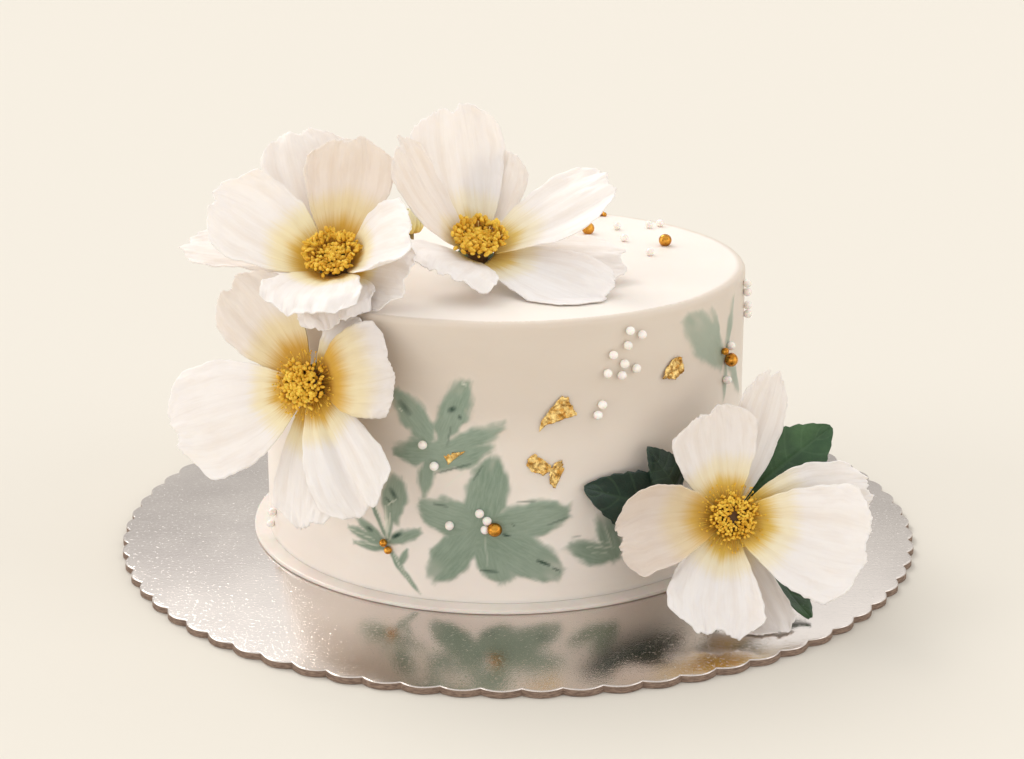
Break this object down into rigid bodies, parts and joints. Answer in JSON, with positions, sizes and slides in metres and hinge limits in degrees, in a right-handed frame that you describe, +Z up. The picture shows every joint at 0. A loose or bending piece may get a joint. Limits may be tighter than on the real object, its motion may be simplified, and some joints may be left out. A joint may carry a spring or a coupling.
{
  "type": "wedding cake",
  "caption": "Round single-tier cake in smooth pale icing on a scalloped silver card, with large white flowers, painted sage petals, sugar pearls and gold leaf.",
  "frame": {"origin": "centre of the card's underside", "axes": "+Z up, -Y towards the front that the picture shows, +X to that view's right"},
  "size_m": [0.2998, 0.2998, 0.1633],
  "materials": {
    "silver_foil": "embossed silver foil on card, glossy, with fine scratches",
    "white_disc": "satin white",
    "icing": "smooth satin icing, with sage painted relief, pearls, gold beads and gold leaf",
    "petal": "soft matt white petal, yellow towards its claw",
    "stamen": "granular matt gold-yellow",
    "calyx": "matt green",
    "leaf": "veined dark green, slightly glossy",
    "bud": "soft matt pale yellow"
  },
  "bodies": {
    "root": {"cake_card": "silver_foil", "base_disc": "white_disc", "cake": "icing", "bud": "bud", "leaf_1": "leaf", "leaf_2": "leaf", "leaf_3": "leaf", "leaf_4": "leaf", "flower_a_petal_1": "petal", "flower_a_petal_2": "petal", "flower_a_petal_3": "petal", "flower_a_petal_4": "petal", "flower_a_petal_5": "petal", "flower_a_petal_6": "petal", "flower_a_petal_7": "petal", "flower_a_petal_8": "petal", "flower_a_stamens": "stamen", "flower_a_calyx": "calyx", "flower_b_petal_1": "petal", "flower_b_petal_2": "petal", "flower_b_petal_3": "petal", "flower_b_petal_4": "petal", "flower_b_petal_5": "petal", "flower_b_petal_6": "petal", "flower_b_petal_7": "petal", "flower_b_stamens": "stamen", "flower_b_calyx": "calyx", "flower_c_petal_1": "petal", "flower_c_petal_2": "petal", "flower_c_petal_3": "petal", "flower_c_petal_4": "petal", "flower_c_petal_5": "petal", "flower_c_petal_6": "petal", "flower_c_stamens": "stamen", "flower_c_calyx": "calyx", "flower_d_petal_1": "petal", "flower_d_petal_2": "petal", "flower_d_petal_3": "petal", "flower_d_petal_4": "petal", "flower_d_petal_5": "petal", "flower_d_petal_6": "petal", "flower_d_petal_7": "petal", "flower_d_stamens": "stamen", "flower_d_calyx": "calyx"}
  },
  "joints": []
}
